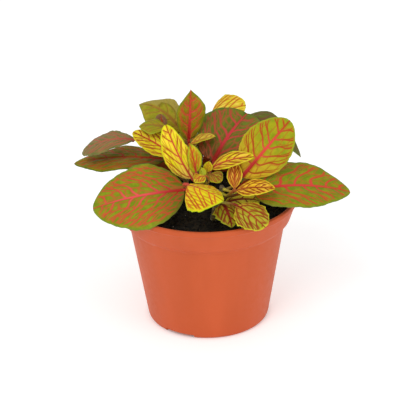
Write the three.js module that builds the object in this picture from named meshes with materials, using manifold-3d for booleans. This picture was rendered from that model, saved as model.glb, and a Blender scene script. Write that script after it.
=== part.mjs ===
import * as THREE from "three";
import { mergeVertices } from "three/addons/utils/BufferGeometryUtils.js";
import Module from "manifold-3d";

// Potted nerve plant. Millimetres, +Z up, -Y towards the front.
// The origin is on the pot's axis, at the flat underside of the pot.

// Pot: a round nine-centimetre plastic pot with a flared collar.
const potHeight = 65.6;
const rimOuterRadius = 45;
const rimLip = 1.0;
const collarBottomRadius = 41.4;
const collarBottomZ = 54;
const shoulderRadius = 38.7;
const shoulderZ = 51.4;
const footRadius = 30.5;
const footEdge = 1.6;
const wall = 1.4;
const floorThickness = 1.4;
const potSides = 56;

// Drain notches in the foot: one shows at the front left, its pair is opposite.
const notchAngles = [-119.5, 60.5];
const notchSpan = 31;
const notchInnerRadius = 21;
const notchHeight = 1.8;
const slotRadius = 24.5;
const slotWidth = 8;
const slotDepth = 3;

// Potting soil
const soilTopZ = 60;
const soilMound = 0.8;
const gap = 0.3;

// Stems, from the soil upwards: points on the axis, and the radius at both ends.
const stemRadius = 1.5;
const stemTipRadius = 1.1;
const plantedZ = 50;
const stemSides = 8;
const stems = {
  stem_main: [[2, -6, 57], [1, -8, 68], [-1, -11.5, 80]],
  stem_right: [[6, -9, 57], [6.5, -12, 67], [7.5, -15, 76]],
  stem_front: [[3, -19, 57], [3.5, -25, 66], [4.5, -30, 76]],
  stem_back: [[-3, 14, 57], [-3, 15, 76], [-3, 16, 91]],
  stem_left: [[-9, 6, 57], [-10, 5, 68], [-11, 4, 80]],
};

// Leaf blades and stalks
const bladeThickness = 0.6;
const marginThickness = 0.35;
const stalkRadius = 0.75;
const stalkStations = [0, 0.3, 0.7];
const bladeStations = [0, 0.07, 0.18, 0.32, 0.48, 0.64, 0.79, 0.91, 0.98];
const smallBladeStations = [0, 0.1, 0.28, 0.5, 0.72, 0.88, 0.97];
const smallLeaf = 15;
const acrossTop = [-1, -0.5, 0, 0.5, 1];

// Every leaf: the stem it grows from and how far up that stem, the two ends of its midrib,
// its width, how far the blade is rolled about its midrib (positive lowers its right side, seen
// from the stalk), how the midrib is bowed, and the angles in degrees that each half is lifted by
// near the midrib (fold) and near the margin (edge). Widest is the place of the greatest width.
const leaves = [
  { name: "leaf_front_left", stem: "stem_main", at: 0.503, base: [-10.5, -20.5, 76.9], tip: [-55, -21, 68],
    width: 38.5, roll: -29, bow: [3, 4], fold: 5, edge: -12, widest: 0.43, fullBase: 0.52, fullTip: 0.6, age: "mature" },
  { name: "leaf_front_right", stem: "stem_right", at: 0.7, base: [22, -20, 76], tip: [70, -11, 70],
    width: 31, roll: 22, bow: [5, 5], fold: 14, edge: -8, widest: 0.4, fullBase: 0.36, fullTip: 0.7, age: "mature" },
  { name: "leaf_right_upright", stem: "stem_right", at: 0.85, base: [17, -14, 80], tip: [40.5, -8.0, 106.8],
    width: 24.5, roll: 60, bow: [1, 1], fold: 10, edge: -5, widest: 0.5, fullBase: 0.75, fullTip: 0.55, age: "green" },
  { name: "leaf_back_centre", stem: "stem_main", at: 0.757, base: [3.8, 2.8, 81.1], tip: [21.0, 25.3, 97.3],
    width: 32, roll: 13, bow: [5, 3], fold: 14, edge: 5, widest: 0.58, fullBase: 0.32, fullTip: 0.5, age: "mature" },
  { name: "leaf_top_upright", stem: "stem_back", at: 0.708, base: [-8.4, 11.6, 89.0], tip: [-6.7, 8.6, 116.7],
    width: 15.5, roll: 172, bow: [0, 0], fold: 24, edge: 0, widest: 0.6, fullBase: 0.55, fullTip: 1.05, age: "mature" },
  { name: "leaf_top_left", stem: "stem_back", at: 0.912, base: [-11.7, 27.2, 87.0], tip: [-33.9, 39.0, 97.5],
    width: 23, roll: -26, bow: [9, 10], fold: -8, edge: -25, widest: 0.42, fullBase: 0.6, fullTip: 1.05, age: "green" },
  { name: "leaf_back_left_small", stem: "stem_left", at: 0.949, base: [-19.4, 10.4, 96.4], tip: [-33.0, 13.0, 96.3],
    width: 12, roll: -16, bow: [2, 2], fold: 0, edge: -20, widest: 0.45, fullBase: 0.75, fullTip: 0.8, age: "green" },
  { name: "leaf_back_left_dull", stem: "stem_back", at: 0.78, base: [-21.1, 18.6, 93.3], tip: [-21.8, 17.4, 100.7],
    width: 6.6, roll: 180, bow: [0.5, 0.5], fold: 5, edge: 0, widest: 0.6, fullBase: 0.6, fullTip: 0.5, age: "mature" },
  { name: "leaf_left_yellow", stem: "stem_left", at: 0.885, base: [-15.2, 3.9, 83.8], tip: [-36, 14, 93],
    width: 13.5, roll: -25, bow: [2, 2], fold: 10, edge: -10, widest: 0.45, fullBase: 0.75, fullTip: 0.6, age: "young" },
  { name: "leaf_centre_yellow", stem: "stem_main", at: 0.841, base: [-6.9, -12.7, 79.1], tip: [-19.1, -8.0, 105.7],
    width: 16.5, roll: -95, bow: [2, 2], fold: 16, edge: 0, widest: 0.35, fullBase: 0.58, fullTip: 0.55, age: "young" },
  { name: "leaf_centre_small", stem: "stem_main", at: 0.941, base: [-4.8, -17.9, 84.6], tip: [-7.7, -18.0, 100.0],
    width: 9, roll: -50, bow: [0.5, 0.5], fold: 20, edge: 10, widest: 0.45, fullBase: 0.6, fullTip: 0.8, age: "young" },
  { name: "leaf_top_small", stem: "stem_back", at: 0.8, base: [-7.5, 6.0, 89.3], tip: [4.9, 6.0, 93.2],
    width: 10, roll: 0, bow: [1, 1], fold: 20, edge: 0, widest: 0.45, fullBase: 0.75, fullTip: 0.8, age: "young" },
  { name: "leaf_front_yellow", stem: "stem_main", at: 0.804, base: [-8.7, -33.3, 85.7], tip: [8, -45.8, 82.7],
    width: 24, roll: 18, bow: [2, 2], fold: -28, edge: -48, widest: 0.34, fullBase: 0.34, fullTip: 0.8, age: "young" },
  { name: "leaf_front_curled", stem: "stem_main", at: 0.876, base: [-0.5, -21.7, 84.6], tip: [-5.9, -25.0, 82.5],
    width: 8, roll: -10, bow: [2, 2], fold: 0, edge: -20, widest: 0.45, fullBase: 0.75, fullTip: 0.8, age: "young" },
  { name: "leaf_right_yellow", stem: "stem_main", at: 0.938, base: [2.2, -11.2, 83.6], tip: [22.9, -17.0, 92.2],
    width: 9.5, roll: 30, bow: [3, 3], fold: 10, edge: -5, widest: 0.45, fullBase: 0.75, fullTip: 0.55, age: "young" },
  { name: "leaf_right_small", stem: "stem_main", at: 0.82, base: [2, -7, 79], tip: [7.3, -10.0, 75.8],
    width: 9.5, roll: 10, bow: [1, 1], fold: 10, edge: -10, widest: 0.45, fullBase: 0.75, fullTip: 0.6, age: "young" },
  { name: "leaf_branch_up", stem: "stem_right", at: 0.93, base: [13.4, -19.2, 76.5], tip: [14.0, -11.2, 87.7],
    width: 7.6, roll: 0, bow: [1, 1], fold: 15, edge: 0, widest: 0.45, fullBase: 0.75, fullTip: 0.8, age: "young" },
  { name: "leaf_branch_right", stem: "stem_right", at: 0.784, base: [14.1, -24.0, 77.8], tip: [32.5, -32.0, 82.1],
    width: 11.5, roll: 22, bow: [2, 2], fold: 10, edge: -10, widest: 0.45, fullBase: 0.75, fullTip: 0.8, age: "young" },
  { name: "leaf_low_front", stem: "stem_front", at: 0.75, base: [8.0, -29.3, 73.1], tip: [11.9, -39.5, 65.5],
    width: 13.5, roll: 0, bow: [2, 2], fold: -5, edge: -20, widest: 0.32, fullBase: 0.38, fullTip: 0.8, age: "green" },
  { name: "leaf_low_back", stem: "stem_front", at: 0.7, base: [8.1, -13.5, 65.9], tip: [26.3, -14.6, 67.6],
    width: 17.5, roll: 18, bow: [3, 3], fold: 0, edge: -20, widest: 0.45, fullBase: 0.75, fullTip: 0.8, age: "green" },
  { name: "leaf_low_right", stem: "stem_front", at: 0.96, base: [14.3, -33.0, 74.1], tip: [27.3, -45.0, 68.2],
    width: 16.5, roll: 20, bow: [2, 2], fold: 0, edge: -15, widest: 0.45, fullBase: 0.7, fullTip: 0.45, age: "young" },
  { name: "leaf_top_yellow", stem: "stem_back", at: 0.95, base: [2.7, 36.5, 90.3], tip: [20.6, 32.5, 98.7],
    width: 19, roll: 35, bow: [2, 2], fold: 10, edge: -10, widest: 0.45, fullBase: 0.7, fullTip: 0.5, age: "young" },
  { name: "leaf_back_right", stem: "stem_back", at: 0.752, base: [8.6, 27.7, 86.4], tip: [48.3, 24.0, 73.0],
    width: 20, roll: 10, bow: [23, 16], fold: 5, edge: -20, widest: 0.5, fullBase: 0.75, fullTip: 0.8, age: "mature" },
  { name: "leaf_left_low", stem: "stem_left", at: 0.6, base: [-19.9, 13.0, 78.1], tip: [-66.9, 25.0, 71.7],
    width: 31, roll: 0, bow: [3, 3], fold: 3, edge: -8, widest: 0.5, fullBase: 0.5, fullTip: 0.75, age: "mature" },
  { name: "leaf_left_high", stem: "stem_left", at: 0.8, base: [-35.1, 15.5, 88.1], tip: [-62.1, 22.5, 79.4],
    width: 21, roll: -9, bow: [4, 4], fold: 0, edge: -10, widest: 0.6, fullBase: 0.75, fullTip: 0.48, age: "mature" },
  { name: "leaf_rear_left", stem: "stem_back", at: 0.4, base: [-10, 22, 74], tip: [-32, 50, 69],
    width: 24, roll: 0, bow: [4, 4], fold: 10, edge: -12, widest: 0.48, fullBase: 0.75, fullTip: 0.8, age: "mature" },
  { name: "leaf_rear_right", stem: "stem_back", at: 0.4, base: [4, 22, 74], tip: [32, 48, 69],
    width: 25, roll: 0, bow: [4, 4], fold: 10, edge: -12, widest: 0.48, fullBase: 0.75, fullTip: 0.8, age: "mature" },
  { name: "leaf_rear_centre", stem: "stem_back", at: 0.45, base: [-2, 25, 74.8], tip: [0, 57, 73],
    width: 23, roll: 0, bow: [4, 4], fold: 10, edge: -12, widest: 0.48, fullBase: 0.45, fullTip: 0.8, age: "mature" },
  { name: "leaf_right_low", stem: "stem_right", at: 0.45, base: [17, -3, 71], tip: [51, 14, 69],
    width: 24, roll: 0, bow: [4, 4], fold: 10, edge: -12, widest: 0.48, fullBase: 0.75, fullTip: 0.8, age: "mature" },
  { name: "leaf_left_under", stem: "stem_left", at: 0.4, base: [-15, -1, 70], tip: [-46, -2, 69],
    width: 20, roll: 0, bow: [4, 4], fold: 10, edge: -12, widest: 0.48, fullBase: 0.75, fullTip: 0.8, age: "mature" },
  { name: "leaf_rear_upper_left", stem: "stem_back", at: 0.55, base: [-12, 27, 81], tip: [-31, 46, 82],
    width: 19, roll: 0, bow: [3, 3], fold: 8, edge: -14, widest: 0.48, fullBase: 0.5, fullTip: 0.8, age: "green" },
  { name: "leaf_rear_upper_right", stem: "stem_back", at: 0.6, base: [9, 27, 81], tip: [27, 45, 80],
    width: 18, roll: 0, bow: [3, 3], fold: 8, edge: -14, widest: 0.48, fullBase: 0.75, fullTip: 0.8, age: "green" },
  { name: "leaf_bud_right", stem: "stem_main", at: 1, base: [0.1, -12.9, 82.6], tip: [1.4, -12.8, 88.2],
    width: 4.8, roll: 90, bow: [0.6, 0.8], fold: 20, edge: 5, widest: 0.5, fullBase: 0.75, fullTip: 0.7, age: "young" },
  { name: "leaf_bud_left", stem: "stem_main", at: 1.0, base: [-1.1, -16.3, 81.1], tip: [-2.4, -16.4, 86.7],
    width: 3.6, roll: 90, bow: [0.4, 0.4], fold: 20, edge: 5, widest: 0.5, fullBase: 0.75, fullTip: 0.8, age: "green" },
];

const colours = { mature: 0x66681f, green: 0x8f8a1c, young: 0xc2a924 };

const wasm = await Module();
wasm.setup();
const { Manifold, Mesh } = wasm;

function toSolid(geometry) {
  const plain = geometry.clone();
  plain.deleteAttribute("normal");
  plain.deleteAttribute("uv");
  const merged = mergeVertices(plain, 1e-4);
  return new Manifold(
    new Mesh({
      numProp: 3,
      vertProperties: Float32Array.from(merged.attributes.position.array),
      triVerts: Uint32Array.from(merged.index.array),
    }),
  );
}

function toGeometry(solid) {
  const mesh = solid.getMesh();
  const positions = new Float32Array(mesh.numVert * 3);
  for (let i = 0; i < mesh.numVert; i++) {
    for (let k = 0; k < 3; k++) positions[i * 3 + k] = mesh.vertProperties[i * mesh.numProp + k];
  }
  const geometry = new THREE.BufferGeometry();
  geometry.setAttribute("position", new THREE.BufferAttribute(positions, 3));
  geometry.setIndex(new THREE.BufferAttribute(Uint32Array.from(mesh.triVerts), 1));
  geometry.computeVertexNormals();
  return geometry;
}

// A profile of [radius, height] pairs, counter-clockwise and closed on the axis, turned about Z.
function turned(profile) {
  const points = profile.map(([radius, z]) => new THREE.Vector2(radius, z));
  return toSolid(new THREE.LatheGeometry(points, potSides).rotateX(Math.PI / 2));
}

// A wedge of a ring between two radii and two heights, centred on an angle in degrees.
function wedge(angle, span, inner, outer, low, high) {
  const steps = 6;
  const shape = new THREE.Shape();
  const turn = (k) => ((angle - span / 2 + (span * k) / steps) * Math.PI) / 180;
  for (let k = 0; k <= steps; k++) {
    const x = outer * Math.cos(turn(k));
    const y = outer * Math.sin(turn(k));
    if (k === 0) shape.moveTo(x, y);
    else shape.lineTo(x, y);
  }
  for (let k = steps; k >= 0; k--) {
    shape.lineTo(inner * Math.cos(turn(k)), inner * Math.sin(turn(k)));
  }
  const block = new THREE.ExtrudeGeometry(shape, { depth: high - low, bevelEnabled: false });
  return toSolid(block.translate(0, 0, low));
}

function cylinder(x, y, radius, low, high) {
  const rod = new THREE.CylinderGeometry(radius, radius, high - low, 16).rotateX(Math.PI / 2);
  return toSolid(rod.translate(x, y, (low + high) / 2));
}

// Closes a row of point rings into one solid, with a flat start and a flat or pointed end.
function loft(rings, apex) {
  const count = rings[0].length;
  const points = rings.flat();
  const faces = [];
  for (let r = 0; r + 1 < rings.length; r++) {
    for (let k = 0; k < count; k++) {
      const a = r * count + k;
      const b = r * count + ((k + 1) % count);
      faces.push(a, b, b + count, a, b + count, a + count);
    }
  }
  for (let k = 1; k + 1 < count; k++) faces.push(0, k + 1, k);
  const last = (rings.length - 1) * count;
  if (apex) {
    points.push(apex);
    for (let k = 0; k < count; k++) faces.push(last + k, last + ((k + 1) % count), points.length - 1);
  } else {
    for (let k = 1; k + 1 < count; k++) faces.push(last, last + k, last + k + 1);
  }
  const geometry = new THREE.BufferGeometry();
  geometry.setAttribute("position", new THREE.Float32BufferAttribute(points.flatMap((p) => [p.x, p.y, p.z]), 3));
  geometry.setIndex(faces);
  geometry.computeVertexNormals();
  return geometry;
}

const vector = (list) => new THREE.Vector3(...list);
const up = new THREE.Vector3(0, 0, 1);
const radians = (degrees) => (degrees * Math.PI) / 180;

// The part of one direction that is square to another, as a unit vector.
function square(direction, to) {
  return direction.clone().addScaledVector(to, -direction.dot(to)).normalize();
}

function stemCurve(points) {
  return new THREE.CatmullRomCurve3(points.map(vector));
}

function stemGeometry(points) {
  const curve = stemCurve(points);
  const foot = vector(points[0]);
  const rings = [];
  const addRing = (centre, along, radius) => {
    const side = square(new THREE.Vector3(1, 0, 0), along);
    const other = along.clone().cross(side);
    const ring = [];
    for (let k = 0; k < stemSides; k++) {
      const angle = (2 * Math.PI * k) / stemSides;
      ring.push(
        centre.clone()
          .addScaledVector(side, radius * Math.cos(angle))
          .addScaledVector(other, radius * Math.sin(angle)),
      );
    }
    rings.push(ring);
  };
  addRing(new THREE.Vector3(foot.x, foot.y, plantedZ), up, stemRadius);
  addRing(new THREE.Vector3(foot.x, foot.y, soilTopZ + soilMound), up, stemRadius);
  const steps = 6;
  for (let k = 2; k <= steps; k++) {
    const t = k / steps;
    const radius = stemRadius + (stemTipRadius - stemRadius) * t;
    addRing(curve.getPoint(t), curve.getTangent(t), radius);
  }
  return loft(rings);
}

function outline(u, leaf) {
  if (u <= 0 || u >= 1) return 0;
  if (u < leaf.widest) return Math.sin((Math.PI / 2) * (u / leaf.widest)) ** leaf.fullBase;
  return Math.cos((Math.PI / 2) * ((u - leaf.widest) / (1 - leaf.widest))) ** leaf.fullTip;
}

function leafGeometry(leaf) {
  const base = vector(leaf.base);
  const tip = vector(leaf.tip);
  const chord = tip.clone().sub(base);
  const ahead = chord.clone().normalize();
  const upright = square(up, ahead);
  const beside = ahead.clone().cross(upright);
  const roll = radians(leaf.roll);
  const face = upright.clone().multiplyScalar(Math.cos(roll)).addScaledVector(beside, Math.sin(roll));
  const midrib = new THREE.CubicBezierCurve3(
    base,
    base.clone().addScaledVector(chord, 1 / 3).addScaledVector(face, leaf.bow[0]),
    base.clone().addScaledVector(chord, 2 / 3).addScaledVector(face, leaf.bow[1]),
    tip,
  );

  // The stalk leaves the stem square to it and runs into the midrib.
  const stem = stemCurve(stems[leaf.stem]);
  const onStem = stem.getPoint(leaf.at);
  const along = stem.getTangent(leaf.at);
  const out = square(base.clone().sub(onStem), along);
  const stemSkin = stemRadius + (stemTipRadius - stemRadius) * leaf.at;
  const start = onStem.addScaledVector(out, stemSkin + gap);
  const reach = base.distanceTo(start);
  const stalk = new THREE.CubicBezierCurve3(
    start,
    start.clone().addScaledVector(out, reach * 0.35),
    base.clone().addScaledVector(midrib.getTangent(0), -reach * 0.35),
    base,
  );

  const rings = [];
  for (const t of stalkStations) {
    const heading = stalk.getTangent(t);
    const normal = square(face, heading);
    const side = heading.clone().cross(normal);
    const centre = stalk.getPoint(t);
    const at = (degrees) =>
      centre.clone()
        .addScaledVector(side, stalkRadius * Math.cos(radians(degrees)))
        .addScaledVector(normal, stalkRadius * Math.sin(radians(degrees)));
    const top = acrossTop.map((v) => at(90 - 72 * v));
    const bottom = acrossTop.map((v) => at(72 * v - 90)).reverse();
    rings.push([...top, ...bottom]);
  }

  const stations = chord.length() > smallLeaf ? bladeStations : smallBladeStations;
  for (const u of stations) {
    const heading = midrib.getTangent(u);
    const normal = square(face, heading);
    const side = heading.clone().cross(normal);
    const half = Math.max((leaf.width / 2) * outline(u, leaf), u < 0.3 ? 0.8 : 0.4);
    const thick = bladeThickness + Math.max(0, 1 - u / 0.15) * (2 * stalkRadius - bladeThickness);
    const surface = (v, sign) => {
      const size = Math.abs(v);
      const angle = radians(leaf.fold * (1 - size / 2) + (leaf.edge * size) / 2);
      const lift = half * size * Math.sin(angle);
      const depth = (thick * (1 - size) + Math.min(thick, marginThickness) * size) / 2;
      return midrib.getPoint(u)
        .addScaledVector(side, Math.sign(v) * half * size * Math.cos(angle))
        .addScaledVector(normal, lift + sign * depth);
    };
    const top = acrossTop.map((v) => surface(v, 1));
    const bottom = acrossTop.map((v) => surface(v, -1)).reverse();
    rings.push([...top, ...bottom]);
  }
  return loft(rings, tip);
}

const part = new THREE.Group();

function add(name, geometry, color, roughness) {
  const material = new THREE.MeshStandardMaterial({ color, roughness, metalness: 0 });
  const mesh = new THREE.Mesh(geometry, material);
  mesh.name = name;
  part.add(mesh);
}

// Pot
let pot = turned([
  [0, 0],
  [footRadius - footEdge, 0],
  [footRadius - 0.4, footEdge * 0.35],
  [footRadius + 0.2, footEdge],
  [shoulderRadius, shoulderZ],
  [collarBottomRadius, collarBottomZ],
  [rimOuterRadius, potHeight - 0.8],
  [rimOuterRadius - 0.2, potHeight - 0.15],
  [rimOuterRadius - wall * 0.5, potHeight],
  [rimOuterRadius - wall - rimLip * 0.2, potHeight - 0.2],
  [rimOuterRadius - wall - 0.3, potHeight - rimLip],
  [collarBottomRadius - wall, collarBottomZ + 0.4],
  [shoulderRadius - wall, shoulderZ + 0.3],
  [footRadius - wall + 0.2, floorThickness + 0.8],
  [footRadius - wall - 0.8, floorThickness],
  [0, floorThickness],
]);
for (const angle of notchAngles) {
  pot = pot.add(wedge(angle, notchSpan + 5, notchInnerRadius - wall, footRadius - 0.6, 0.8, notchHeight + wall));
}
for (const angle of notchAngles) {
  pot = pot.subtract(wedge(angle, notchSpan, notchInnerRadius, footRadius + 5, -1, notchHeight));
  pot = pot.subtract(wedge(angle, (slotWidth / slotRadius) * 57.3, slotRadius - slotDepth / 2, slotRadius + slotDepth / 2, 0, 6));
}
add("pot", toGeometry(pot), 0xcb6038, 0.6);

// Potting soil, with a socket for each stem
let soil = turned([
  [0, floorThickness + gap],
  [footRadius - wall - 1.2, floorThickness + gap],
  [footRadius - wall - gap, floorThickness + 1.3],
  [shoulderRadius - wall - gap, shoulderZ + 0.5],
  [collarBottomRadius - wall - gap - 0.1, collarBottomZ + 0.6],
  [41.0, soilTopZ - 1.2],
  [37, soilTopZ - 0.4],
  [22, soilTopZ + soilMound * 0.7],
  [0, soilTopZ + soilMound],
]);
for (const angle of notchAngles) {
  const clearance = notchHeight + wall + gap;
  soil = soil.subtract(wedge(angle, notchSpan + 8, notchInnerRadius - wall - 0.4, footRadius + 5, 0, clearance));
}
for (const points of Object.values(stems)) {
  const [x, y] = points[0];
  soil = soil.subtract(cylinder(x, y, stemRadius + gap, plantedZ - gap, soilTopZ + 5));
}
add("potting_soil", toGeometry(soil), 0x17120e, 0.95);

for (const [name, points] of Object.entries(stems)) {
  add(name, stemGeometry(points), 0x7b6b3c, 0.8);
}

for (const leaf of leaves) {
  add(leaf.name, leafGeometry(leaf), colours[leaf.age], 0.6);
}

export default part;
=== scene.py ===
"""Potted nerve plant: pot, soil, stems and veined leaves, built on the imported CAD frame."""

import math
from functools import partialmethod
from types import SimpleNamespace

import bmesh
import bpy
import numpy as np
from mathutils import Matrix, Vector, noise


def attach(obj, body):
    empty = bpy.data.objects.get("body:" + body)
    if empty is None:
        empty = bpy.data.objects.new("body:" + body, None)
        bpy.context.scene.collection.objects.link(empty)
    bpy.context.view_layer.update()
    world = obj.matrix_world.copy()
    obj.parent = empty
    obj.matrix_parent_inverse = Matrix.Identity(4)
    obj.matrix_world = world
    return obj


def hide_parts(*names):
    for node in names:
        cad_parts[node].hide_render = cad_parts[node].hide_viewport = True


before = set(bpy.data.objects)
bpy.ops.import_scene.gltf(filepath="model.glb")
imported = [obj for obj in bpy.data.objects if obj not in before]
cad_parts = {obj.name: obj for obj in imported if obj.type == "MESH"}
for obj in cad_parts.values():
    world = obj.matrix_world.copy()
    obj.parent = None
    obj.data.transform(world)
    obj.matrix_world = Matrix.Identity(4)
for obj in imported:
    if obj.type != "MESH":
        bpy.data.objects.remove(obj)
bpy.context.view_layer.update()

MM = 0.001
FULL_TURN = 2 * math.pi
rng = np.random.default_rng(20)

# The camera that the photograph's perspective gives: a long lens, looking down by about 25 degrees
CAMERA_PLACE = (0.0, -0.7153, 0.4009)
CAMERA_RIGHT = Vector((0.99984, -0.00360, -0.01735))
CAMERA_UP = Vector((0.01722, 0.42856, 0.90335))
CAMERA_LENS = 144.0
SENSOR_WIDTH = 36.0

# Pot, in millimetres, with angles in degrees
POT_HEIGHT = 65.6
RIM_RADIUS = 45.0
COLLAR_BOTTOM_RADIUS = 41.4
COLLAR_BOTTOM_Z = 54.0
SHOULDER_RADIUS = 38.7
SHOULDER_Z = 51.4
FOOT_RADIUS = 30.5
WALL = 1.4
FLOOR = 1.4
NOTCH_ANGLES = (-119.5, 60.5)
NOTCH_SPAN = 31.0
NOTCH_INNER_RADIUS = 21.0
NOTCH_HEIGHT = 1.8
FLOOR_TOP = NOTCH_HEIGHT + FLOOR
SLOT_RADIUS = 24.5
SLOT_WIDTH = 8.0
SLOT_DEPTH = 3.0
POT_SIDES = 240

# Soil, in millimetres: a low mound that falls away by a millimetre per FALL_RUN beyond the radius
# FALL_FROM. Each layer of clods has a fineness, a height and a seed.
SOIL_TOP = 60.0
SOIL_MOUND = 0.8
SOIL_SINK = 0.3
MOUND_RADIUS = 40.0
FALL_FROM = 36.0
FALL_RUN = 5.0
SOIL_RADIUS = 41.2
SOIL_GAP = 0.3
SOIL_SIDES = 260
SOIL_RINGS = 92
CLODS = ((0.22, 0.35, 3.0), (0.6, 0.45, 9.0), (1.6, 0.25, 5.0))
CRUMB_COUNT = 900
PALE_GRAIN_COUNT = 34

# Stems, in millimetres: points on the axis, as in the CAD model
STEM_RADIUS = 1.5
STEM_TIP_RADIUS = 1.1
STEM_SIDES = 18
PLANTED_Z = 50.0
BURIED_RINGS = 6
RINGS_ABOVE = 26
HAIR_COUNT = 260
HAIR_RADIUS = 0.035
STEMS = {
    "stem_main": [(2, -6, 57), (1, -8, 68), (-1, -11.5, 80)],
    "stem_right": [(6, -9, 57), (6.5, -12, 67), (7.5, -15, 76)],
    "stem_front": [(3, -19, 57), (3.5, -25, 66), (4.5, -30, 76)],
    "stem_back": [(-3, 14, 57), (-3, 15, 76), (-3, 16, 91)],
    "stem_left": [(-9, 6, 57), (-10, 5, 68), (-11, 4, 80)],
}

# Leaves, in millimetres. Each leaf's seed is one SEED_STEP on from the last one's, and the fine mesh
# of a blade's one half lies HALF_SHIFT cells from the other's. TOP, UNDER and STALK are materials.
SEED_STEP = 7.31
HALF_SHIFT = 17.3
STALK_RADIUS = 0.75
STALK_SIDES = 10
STALK_RINGS = 16
RIB_RINGS = 26
LEAF_THICKNESS = 0.42
MARGIN_THICKNESS = 0.16
GROOVE = 0.28
ROWS_PER_MM = 2.6
ROW_LIMITS = (26, 120)
COLUMNS_PER_MM = 2.4
COLUMN_LIMITS = (16, 84)
CELL_RANDOMNESS = 0.6
VEIN_BLUR = 0.24
RIB_BLUR = 0.25
TOP, UNDER, STALK = range(3)

# Floor, in millimetres. Its glow, painted light that keeps it white, comes up between two distances
# from the pot's middle, in metres, so that shade stays only under and round the pot's foot.
FLOOR_REACH = 6000.0
FLOOR_Z = -0.05
GLOW_FROM = 0.025
GLOW_TO = 0.034
GLOW = 0.33

# Light: the room's own, and soft square lights with their place and side in metres and their power
ROOM_LIGHT = 0.66
LIGHT_AIM = Vector((0, 0, 0.06))
LIGHTS = {
    "key": dict(place=(-0.5, -0.9, 1.1), side=0.7, power=6),
    "fill": dict(place=(0.9, -0.7, 0.8), side=0.8, power=2.5),
}


def rgb(red, green, blue):
    """A display colour from 0 to 255 as the linear colour that shaders use."""
    def linear(value):
        value = value / 255
        return value / 12.92 if value < 0.04045 else ((value + 0.055) / 1.055) ** 2.4
    return (linear(red), linear(green), linear(blue), 1.0)


# Leaf finishes. ground is the colour between the veins, in two shades, and flush the blush beside
# them. vein, rib and deep are the side veins, the midrib, and the midrib near the stalk. rim is the
# margin, under the lower side, and turned_up the colour of a margin that turns up, with a painted
# shadow line along it. shaded colours the ground near the stalk, by the share
# shade, as far as shade_to along the blade: on the mature leaves it is mostly painted shade, on the
# others the leaf's own warmer, paler colour there. base_tone darkens that end, partly the
# leaf's own darker base and partly painted shade. pairs counts the side veins on each half of the
# blade, lean is how far they run forward for each millimetre outward, and rows counts the fine meshes
# between two of them. Widths, cell, the size of a mesh, and quilt, the swelling between veins, are in
# millimetres. scallop is the depth of the margin's notches as a share of half the width. slot names
# the leaf's material slot.
MATURE = dict(
    slot="leaf_mature",
    ground=((112, 134, 10), (138, 146, 18)), flush=(170, 104, 34), vein=(204, 78, 42),
    rib=(232, 82, 82), deep=(190, 44, 34), rim=(118, 134, 50), under=(150, 152, 88),
    stalk=(126, 84, 36), turned_up=None, shaded=(120, 84, 40), shade=0.3, shade_to=0.4,
    base_tone=1.0, pairs=6, lean=1.3, rows=2, cell=3.4, side_width=0.42, net_width=0.16,
    rib_width=0.95, flush_width=0.50, rim_width=2.2, flush_amount=0.75, net_amount=0.65, quilt=0.34,
    scallop=0.012, rough=0.50, gloss=0.14,
)
GREEN = dict(
    MATURE, slot="leaf_green",
    ground=((152, 162, 6), (178, 172, 12)), flush=(196, 134, 26), vein=(180, 74, 22),
    rib=(226, 78, 64), deep=(206, 56, 54), rim=(160, 172, 40), stalk=(150, 128, 50),
    shaded=(190, 140, 24), shade=0.4, rows=1, cell=3.6, side_width=0.28, net_width=0.06,
    rib_width=1.05, flush_width=0.40, rim_width=1.2, flush_amount=0.6, net_amount=0.35, quilt=0.28,
)
YOUNG = dict(
    MATURE, slot="leaf_young",
    flush=(236, 160, 40), rib=(206, 74, 42), deep=(196, 66, 52), rim=(212, 208, 34),
    under=(198, 192, 92), stalk=(176, 150, 50), shaded=(238, 160, 60), shade=0.4, pairs=5, lean=1.7,
    rows=1, cell=1.8, side_width=0.22, net_width=0.07, rib_width=0.50, flush_width=0.32,
    rim_width=0.8, flush_amount=0.3, net_amount=0.55, quilt=0.26, scallop=0.02,
)


# The shape that most blades have, in the CAD model's terms
BLADE = dict(roll=0, bow=(2, 2), fold=10, edge=-10, widest=0.45, full=(0.75, 0.8))


def leaf(name, stem, at, base, tip, width, look, **changes):
    """A leaf: its stem, how far up that the stalk starts, the midrib's two ends, the blade's width,
    its finish, and any changes to that or to the blade's shape."""
    own = dict(name=name, stem="stem_" + stem, at=at, base=base, tip=tip, width=width)
    return SimpleNamespace(**{**BLADE, **look, **changes, **own})


# Leaves that the photograph doesn't show, behind and under the others
UNSEEN = dict(bow=(4, 4), edge=-12, widest=0.48)
UNSEEN_UPPER = dict(bow=(3, 3), fold=8, edge=-14, widest=0.48)

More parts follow.
